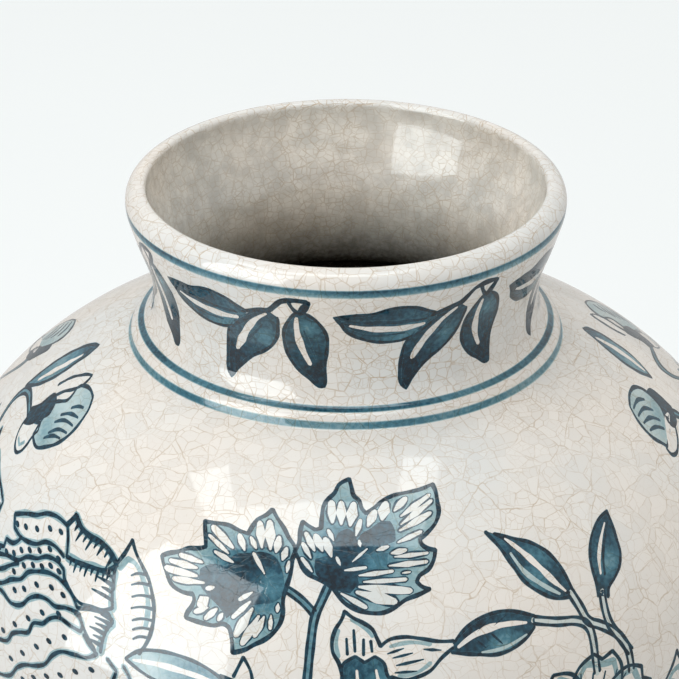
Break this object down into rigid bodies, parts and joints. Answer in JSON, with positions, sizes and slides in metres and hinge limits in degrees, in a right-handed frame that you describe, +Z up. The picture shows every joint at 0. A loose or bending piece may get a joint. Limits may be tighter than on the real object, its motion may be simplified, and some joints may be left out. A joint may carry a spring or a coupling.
{
  "type": "glazed pottery vase",
  "caption": "Round-shouldered baluster vase with a short flared neck and rounded lip, blue-on-white under a crackled glaze; holds flowers or stands as decoration.",
  "frame": {"origin": "centre of the foot ring's resting face", "axes": "+Z up along the vase's axis, -Y towards the painted front"},
  "size_m": [0.204, 0.204, 0.25],
  "materials": {
    "fired_clay": "bare fired earthenware, matt and slightly gritty",
    "fired_slip": "fired joining slip, matt",
    "crackle_glaze": "glossy warm white glaze with fine tan crackle over blue brushwork",
    "blue_pigment": "cobalt brushwork under the same glossy crackle glaze"
  },
  "bodies": {
    "root": {"foot_ring": "fired_clay", "base_disc": "fired_clay", "foot_slip": "fired_slip", "lower_body": "fired_clay", "belly_slip": "fired_slip", "shoulder": "fired_clay", "neck_bead": "fired_slip", "neck_collar": "fired_clay", "lip_roll": "fired_clay", "glaze_coat": "crackle_glaze"}
  },
  "joints": []
}
